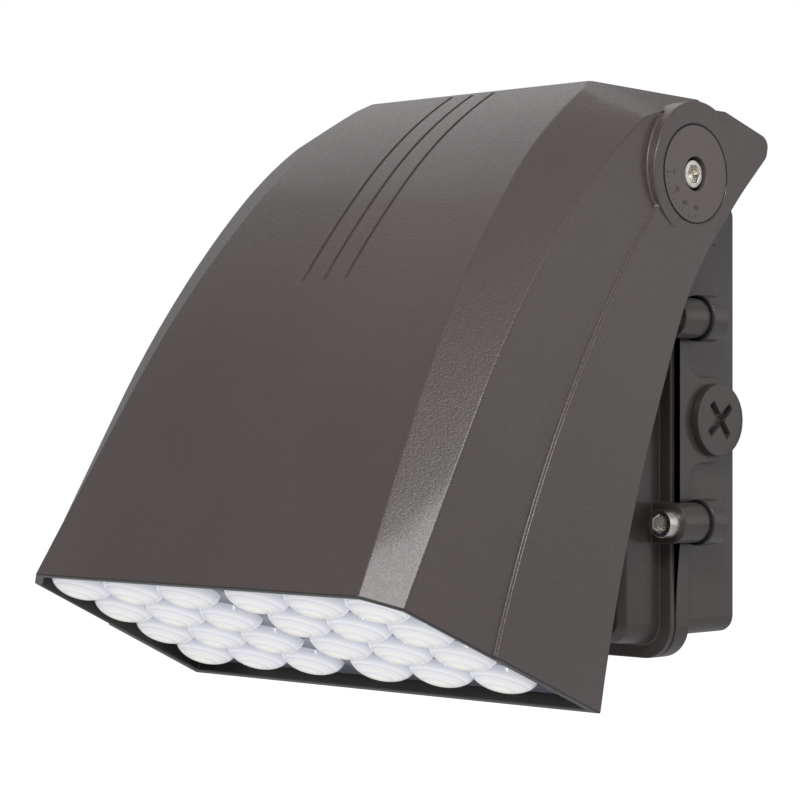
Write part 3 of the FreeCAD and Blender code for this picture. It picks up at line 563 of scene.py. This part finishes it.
def add_plug(bm, turn):
    """Plug whose head stands on the origin along Z, turned and placed by turn."""
    before = set(bm.verts)
    foot = plug_loop(bm, PLUG_SHANK, -PLUG_SHANK_LENGTH)
    neck = plug_loop(bm, PLUG_SHANK, 0.0)
    seat = plug_loop(bm, PLUG_RADIUS, 0.0)
    rim = plug_loop(bm, PLUG_RADIUS, PLUG_HEIGHT)
    for lower, upper in ((foot, neck), (neck, seat), (seat, rim)):
        bmesh.ops.bridge_loops(bm, edges=lower + upper)
    cross = add_cross(bm)
    bmesh.ops.triangle_fill(bm, edges=rim + cross, use_beauty=True)
    walls = bmesh.ops.extrude_edge_only(bm, edges=cross)["geom"]
    foot_verts = [item for item in walls if isinstance(item, bmesh.types.BMVert)]
    bmesh.ops.translate(bm, verts=foot_verts, vec=(0.0, 0.0, -CROSS_DEPTH))
    foot_edges = [item for item in walls if isinstance(item, bmesh.types.BMEdge)]
    bmesh.ops.holes_fill(bm, edges=foot_edges + foot)
    place_fresh(bm, before, turn)


# The plugs' copy of the bronze coat is painted darker than the head's: painted shade.
plug_bronze_painted_shade = powder_coat("plug_bronze_painted_shade", shade(60, 53, 53), BRONZE_PAINTED_GLINT, 0.22)
bm = bmesh.new()
for side in (-1, 1):
    add_plug(bm, on_side(side, PLUG_SEAT))
bmesh.ops.recalc_face_normals(bm, faces=bm.faces)
round_off(bm, creases(bm, SMOOTH), PLUG_EDGE, 2)
make_piece("entry_plugs", bm, BOX, "bronze_powder_coat", plug_bronze_painted_shade, "conduit_plugs")


# Driver: the power supply, a potted aluminium can on two posts of the cover, whose sheet
# is brushed along its length.
BRUSH_SCALE = (30.0, 1800.0, 1800.0)
can, tree, shader = plain_material("driver_can", shade(196, 197, 199), 0.4)
shader.inputs["Metallic"].default_value = 0.6
drawn = tree.nodes.new("ShaderNodeMapping")
drawn.inputs["Scale"].default_value = BRUSH_SCALE
feed(tree, drawn.inputs["Vector"], object_place(tree))
brushed = noise(tree, drawn.outputs["Vector"], 1.0, 3.0)
feed(tree, shader.inputs["Base Color"],
     tint(tree, brushed, shade(176, 178, 181), shade(214, 214, 214)))
feed(tree, shader.inputs["Roughness"], spread(tree, brushed, 0.3, 0.5))
repaint("led_driver", can)


# Surge protector: a small moulded box of red plastic with a spark eroded grain, which
# hangs on the inside of the cover above the driver.
surge_case, _ = mottled("surge_case", shade(136, 26, 22), shade(164, 42, 34),
                        2200.0, 3.0, 0.475, 0.125)
repaint("surge_protector", surge_case)


# Terminal block: three poles in pale nylon, fixed inside the box where the house wires
# arrive through the wire entry.
pale_nylon, _ = mottled("pale_nylon", shade(196, 193, 184), shade(216, 214, 207),
                        700.0, 3.0, 0.45, 0.10)
repaint("terminal_block", pale_nylon)


# Cable glands: black nylon nuts on the cover and on the tray, with softened flats, for
# the lead between the box and the head.
GLAND_EDGE = 0.0004
black_nylon, _ = mottled("black_nylon", shade(22, 22, 23), shade(42, 42, 43),
                         1500.0, 3.0, 0.5, 0.1)
for node, body in (("box_gland", BOX), ("tray_gland", HEAD)):
    bm = merged(node)
    round_off(bm, creases(bm), GLAND_EDGE)
    make_piece(node + "_nut", bm, body, "black_nylon", black_nylon, node)


# Tilt dials: the round cast caps on the hinge, fixed to the ears of the box.  A scale of
# degrees is printed on their faces, and a black ring in the gap to the arm paints that gap's
# shade.
HINGE = Vector((0.0, -0.0445, 0.0855))
DIAL_FACE = 0.0925
DIAL_RADIUS = 0.0170
DIAL_EDGE = 0.00020
TICK_OUT = 0.0158
TICK_SHORT = 0.0012
TICK_LONG = 0.0022
TICK_WIDTH = 0.00022
PRINT = 0.00003
DIGIT_SIZE = 0.0026
DIGIT_OUT = 0.0118
SCALE_STEP = 7.5
SCALE_END = 90.0
STEPS_TO_DIGITS = 4
GAP_SIDES = 8
GAP_RING = 0.0004
GAP_HALF = 0.0001
GAP_DEPTH = 0.0003
GAP_MIDDLE = DIAL_RADIUS + GAP_HALF
GAP_SEAT = HINGE + Vector((DIAL_FACE - GAP_DEPTH, 0.0, 0.0))


def on_dial(side):
    """Places what is drawn flat, with X to the right and Y up, on the dial of one side."""
    turn = Matrix.Rotation(side * math.pi / 2, 4, "Z") @ Matrix.Rotation(math.pi / 2, 4, "X")
    return Matrix.Translation(HINGE + Vector((side * DIAL_FACE, 0.0, 0.0))) @ turn


def add_tick(bm, side, degrees, length):
    """Printed stroke on a dial, from the front at no degrees round to straight down."""
    made = bmesh.ops.create_cube(bm, size=1.0)["verts"]
    bmesh.ops.scale(bm, verts=made, vec=(length, TICK_WIDTH, PRINT))
    bmesh.ops.translate(bm, verts=made, vec=(TICK_OUT - length / 2, 0.0, 0.0))
    heading = math.pi + math.radians(degrees)
    if side < 0:
        heading = -math.radians(degrees)
    turn = Matrix.Rotation(heading, 4, "Z")
    bmesh.ops.transform(bm, verts=made, matrix=on_dial(side) @ turn)


def add_digits(bm, side, degrees):
    """The number of degrees, upright on the dial, inside its stroke."""
    words = bpy.data.curves.new("digits", "FONT")
    words.body = "%d" % degrees
    words.size = DIGIT_SIZE
    words.align_x = "CENTER"
    words.align_y = "CENTER"
    words.extrude = PRINT / 2
    holder = bpy.data.objects.new("digits", words)
    flat = bpy.data.meshes.new_from_object(holder)
    heading = math.pi + math.radians(degrees)
    across = side * DIGIT_OUT * math.cos(heading)
    spot = Matrix.Translation((across, DIGIT_OUT * math.sin(heading), 0.0))
    flat.transform(on_dial(side) @ spot)
    bm.from_mesh(flat)
    bpy.data.objects.remove(holder)
    bpy.data.curves.remove(words)
    bpy.data.meshes.remove(flat)


# The dials' copy of the bronze coat is painted lighter than the head's: painted light.
dial_bronze_painted_light = powder_coat("dial_bronze_painted_light", shade(84, 76, 74), BRONZE_PAINTED_GLINT, 0.18)
bm = merged("dial_caps")
round_off(bm, creases(bm), DIAL_EDGE)
make_piece("dial_discs", bm, BOX, "bronze_powder_coat", dial_bronze_painted_light, "dial_caps")

ink, _ = mottled("scale_print", shade(34, 30, 30), shade(52, 47, 46), 3000.0, 2.0, 0.6)
bm = bmesh.new()
for side in (-1, 1):
    for index in range(int(SCALE_END / SCALE_STEP) + 1):
        major = index % STEPS_TO_DIGITS == 0
        add_tick(bm, side, index * SCALE_STEP, TICK_LONG if major else TICK_SHORT)
        if major:
            add_digits(bm, side, index * SCALE_STEP)
make_piece("dial_scale", bm, BOX, "black_rubber", ink)

# Black rings in the gap round each dial: painted shade.
bm = bmesh.new()
for side in (-1, 1):
    add_ring(bm, GAP_MIDDLE, GAP_RING, GAP_SIDES, on_side(side, GAP_SEAT))
bmesh.ops.recalc_face_normals(bm, faces=bm.faces)
make_piece("dial_gap_painted_shade", bm, BOX, "black_rubber", gap_shade_black)


# Tilt bolts: stainless socket screws sunk in the middle of the dials, which clamp the arms
# between dial and ear.  Each sits on a flat black ring that paints the shade of its pocket.
TILT_SEAT = HINGE + Vector((0.0857, 0.0, 0.0))
TILT_LENGTH = 0.0177
WASHER_OUTER = 0.0059
WASHER_THICK = 0.0005


def add_washer(bm, turn):
    """Flat ring round a screw's head, on the origin, turned and placed by turn."""
    before = set(bm.verts)
    outer = add_loop(bm, WASHER_OUTER, 0.0)
    inner = add_loop(bm, HEAD_RADIUS, 0.0)
    flat = bmesh.ops.bridge_loops(bm, edges=outer + inner)["faces"]
    raised = bmesh.ops.extrude_face_region(bm, geom=flat)["geom"]
    lid = [item for item in raised if isinstance(item, bmesh.types.BMVert)]
    bmesh.ops.translate(bm, verts=lid, vec=(0.0, 0.0, WASHER_THICK))
    place_fresh(bm, before, turn)


bm = bmesh.new()
for side in (-1, 1):
    add_socket_screw(bm, TILT_LENGTH, on_side(side, TILT_SEAT))
bmesh.ops.recalc_face_normals(bm, faces=bm.faces)
make_piece("tilt_socket_bolts", bm, BOX, "stainless_steel", steel, "tilt_bolts")

# Black rings in the pockets round the bolt heads: painted shade.
bm = bmesh.new()
for side in (-1, 1):
    add_washer(bm, on_side(side, TILT_SEAT))
bmesh.ops.recalc_face_normals(bm, faces=bm.faces)
make_piece("bolt_pocket_painted_shade", bm, BOX, "black_nylon", black_nylon)


# Head: the tilting casting, a hood with chamfered corners, two arms and the lens tray.
# Its cast edges are rounded, its three grooves less so, and its rim and the inside of its tray
# are painted darker: painted shade for faces that turn down or into the recess.
REST_TILT = math.radians(24.5)
HEAD_EDGE = 0.0007
GROOVE_EDGE = 0.00025
GROOVE_SPAN = 0.0125
GROOVE_FOOT = -0.09525
SLANT_LEAST = 0.12
SLANT_MOST = 0.80
BROW_TURN = math.radians(4.0)
RIM_LEVEL = -0.1905
RIM_NEAR = 0.0009
RIM_FACING = -0.5
TRAY_DEPTH = 0.0045
TRAY_MIDDLE = -0.035
shut = Matrix.Translation(HINGE) @ Matrix.Rotation(-REST_TILT, 4, "X")
to_shut = shut.inverted()


def is_slanted(face):
    """Whether a face of the hood belongs to a chamfered corner, seen from outside."""
    facing = to_shut.to_3x3() @ face.normal
    outward = facing.x * face.calc_center_median().x > 0
    return SLANT_LEAST < abs(facing.x) < SLANT_MOST and outward and facing.z > facing.y


def is_brow(edge):
    """Whether an edge runs between a chamfered corner and its neighbour, however blunt."""
    if not turns_past(edge, BROW_TURN):
        return False
    first, second = edge.link_faces
    return is_slanted(first) != is_slanted(second)


def is_groove(edge):
    """Whether an edge lies where the three grooves are, in the upper middle of the face."""
    near = all(abs(vert.co.x) < GROOVE_SPAN for vert in edge.verts)
    return near and all((to_shut @ vert.co).z > GROOVE_FOOT for vert in edge.verts)


def is_painted_shade(face):
    """Whether a face of the finished casting is painted shade: the downward faces of the rim and
    the inside of the mouth.
    """
    spot = to_shut @ face.center
    facing = to_shut.to_3x3() @ face.normal
    inward = facing.x * spot.x + facing.y * (spot.y - TRAY_MIDDLE) < 0
    on_rim = spot.z < RIM_LEVEL + RIM_NEAR and facing.z < RIM_FACING
    return on_rim or (spot.z < RIM_LEVEL + TRAY_DEPTH and inward)


bronze = powder_coat("bronze_coat", shade(72, 63, 63), BRONZE_PAINTED_GLINT, 0.60)
# Near-black copy of the coat, painted shade for the rim and tray.
rim_painted_shade = powder_coat("rim_painted_shade_coat", shade(34, 31, 29), shade(70, 66, 63), 0.25)
bm = merged("head_housing")
sharp = set(creases(bm))
sharp.update(filter(is_brow, bm.edges))
grooves = [edge for edge in bm.edges if edge in sharp and is_groove(edge)]
others = [edge for edge in bm.edges if edge in sharp and not is_groove(edge)]
round_off(bm, [edge for edge in others if has_room(edge, HEAD_EDGE)], HEAD_EDGE)
round_off(bm, [edge for edge in grooves if edge.is_valid], GROOVE_EDGE, 2)
piece = make_piece("hood_casting", bm, HEAD, "bronze_powder_coat", bronze, "head_housing")
piece.data.materials.append(rim_painted_shade)
for face in piece.data.polygons:
    face.material_index = int(is_painted_shade(face))


# Pointers: a short printed stroke on each arm below its dial, against which the scale of
# degrees is read.
POINTER_PLACE = (0.0027, -0.0195)
POINTER_LENGTH = 0.0050
bm = bmesh.new()
for side in (-1, 1):
    made = bmesh.ops.create_cube(bm, size=1.0)["verts"]
    bmesh.ops.scale(bm, verts=made, vec=(PRINT, POINTER_LENGTH, 2 * TICK_WIDTH))
    bmesh.ops.translate(bm, verts=made, vec=(side * DIAL_FACE, *POINTER_PLACE))
bmesh.ops.transform(bm, verts=bm.verts, matrix=shut)
make_piece("tilt_pointers", bm, HEAD, "black_rubber", ink)


# LED boards: two boards with a white solder mask under the tray floor, where the copper
# beneath shows as a faint pattern.
board_white, _ = mottled("board_white", shade(208, 211, 217), shade(234, 235, 238),
                         350.0, 2.0, 0.5, 0.1)
for node in ("led_board_right", "led_board_left"):
    repaint(node, board_white)


# LED packages: square chips soldered to the boards, one behind each dome, yellow where
# the phosphor shows.
phosphor, _ = mottled("phosphor_yellow", shade(232, 196, 70), shade(246, 224, 128),
                      1800.0, 2.0, 0.35)
for node in ("led_chips_right", "led_chips_left"):
    repaint(node, phosphor)


# Lens seal: a frame of the same black silicone as the box seal, pressed between the lens
# plates and the floor of the tray.
repaint("lens_gasket", silicone)


# Lens plates: two clear moulded sheets in the mouth of the tray.  Each carries twelve
# oval domes with fine rings, milky white where they spread the light; the domes also give off a
# faint painted glow in their own tones.
LENS_FACE = -0.1863
LENS_SKIN = 0.00002
LENS_INDEX = 1.49
PLATE_EDGE = 0.0003
DOME_HALF_X = 0.0132
DOME_HALF_Y = 0.0099
DOME_HEIGHT = 0.0062
DOME_SIDES = 32
DOME_BANDS = 20
DOME_COLUMNS = 3
DOME_ROWS = 4
DOME_RINGS = 38.0
RING_RELIEF = 0.18
RING_DEPTH = 0.0003
DOME_PAINTED_GLOW = 0.33
FIRST_DOME_X = 0.0175
LAST_DOME_Y = -0.0014
DOME_PITCH_X = 0.0285
DOME_PITCH_Y = 0.0213
clear, tree, shader = plain_material("clear_plate", (0.34, 0.37, 0.45, 1.0), 0.12)
shader.inputs["Transmission Weight"].default_value = 0.55
shader.inputs["IOR"].default_value = LENS_INDEX
ripple = noise(tree, object_place(tree), 160.0, 2.0)
feed(tree, shader.inputs["Roughness"], spread(tree, ripple, 0.06, 0.18))

optic, tree, shader = plain_material("dome_optic", (0.9, 0.9, 0.92, 1.0), 0.12)
shader.inputs["IOR"].default_value = LENS_INDEX
shader.inputs["Coat Weight"].default_value = 0.6
shader.inputs["Coat Roughness"].default_value = 0.05
# A faint painted glow in the tones of the ramp below, brightest in the warm middle.
shader.inputs["Emission Strength"].default_value = DOME_PAINTED_GLOW
apart = tree.nodes.new("ShaderNodeSeparateXYZ")
feed(tree, apart.inputs["Vector"], tree.nodes.new("ShaderNodeTexCoord").outputs["UV"])
out_from_middle = apart.outputs["X"]
ramp = tree.nodes.new("ShaderNodeValToRGB")
feed(tree, ramp.inputs["Fac"], out_from_middle)
for stop, tone in ((0.30, shade(250, 250, 248)), (0.46, shade(228, 228, 231)),
                   (0.52, shade(244, 243, 240)), (0.74, shade(232, 232, 236)),
                   (0.80, shade(218, 219, 225)), (0.84, shade(240, 240, 243))):
    ramp.color_ramp.elements.new(stop).color = tone
ramp.color_ramp.elements[0].color = shade(254, 251, 232)
ramp.color_ramp.elements[-1].color = shade(196, 198, 208)
feed(tree, shader.inputs["Base Color"], ramp.outputs["Color"])
feed(tree, shader.inputs["Emission Color"], ramp.outputs["Color"])
rings = reckon(tree, "SINE", reckon(tree, "MULTIPLY", out_from_middle, DOME_RINGS))
feed(tree, shader.inputs["Normal"], relief(tree, rings, RING_RELIEF, RING_DEPTH))


def lens_plate(node):
    """Copy of a CAD lens without its domes, closed again along its face."""
    bm = merged(node)
    bmesh.ops.transform(bm, verts=bm.verts, matrix=to_shut)
    everything = list(bm.verts) + list(bm.edges) + list(bm.faces)
    cut = bmesh.ops.bisect_plane(bm, geom=everything, plane_co=(0.0, 0.0, LENS_FACE + LENS_SKIN),
                                 plane_no=(0.0, 0.0, -1.0), clear_outer=True)
    rim = [item for item in cut["geom_cut"] if isinstance(item, bmesh.types.BMEdge)]
    bmesh.ops.holes_fill(bm, edges=rim)
    bmesh.ops.transform(bm, verts=bm.verts, matrix=shut)
    round_off(bm, creases(bm), PLATE_EDGE, 2)
    return bm


def add_dome(bm, x, y, share):
    """Oval dome below the lens plate, which keeps each point's share of the half width."""
    before = set(bm.verts)
    bmesh.ops.create_uvsphere(bm, u_segments=DOME_SIDES, v_segments=DOME_BANDS, radius=1.0)
    fresh = [vert for vert in bm.verts if vert not in before]
    faces = list(dict.fromkeys(face for vert in fresh for face in vert.link_faces))
    bmesh.ops.bisect_plane(bm, geom=fresh + edges_of(fresh) + faces, plane_co=(0.0, 0.0, 0.0),
                           plane_no=(0.0, 0.0, 1.0), clear_outer=True)
    fresh = [vert for vert in bm.verts if vert not in before]
    for face in {face for vert in fresh for face in vert.link_faces}:
        for corner in face.loops:
            corner[share].uv = (corner.vert.co.xy.length, 0.5)
    bmesh.ops.scale(bm, verts=fresh, vec=(DOME_HALF_X, DOME_HALF_Y, DOME_HEIGHT))
    bmesh.ops.translate(bm, verts=fresh, vec=(x, y, LENS_FACE))


for side, node in ((1, "lens_right"), (-1, "lens_left")):
    make_piece(node + "_plate", lens_plate(node), HEAD, "lens_clear", clear, node)
    bm = bmesh.new()
    share = bm.loops.layers.uv.new("share")
    for column in range(DOME_COLUMNS):
        for row in range(DOME_ROWS):
            add_dome(bm, side * (FIRST_DOME_X + column * DOME_PITCH_X),
                     LAST_DOME_Y - row * DOME_PITCH_Y, share)
    bmesh.ops.transform(bm, verts=bm.verts, matrix=shut)
    bmesh.ops.recalc_face_normals(bm, faces=bm.faces)
    make_piece(node + "_domes", bm, HEAD, "lens_clear", optic)


# Lens clips: three small sprung clips of stainless sheet on the rear wall of the tray,
# which hold the lens plates in.
repaint("lens_clips", steel)
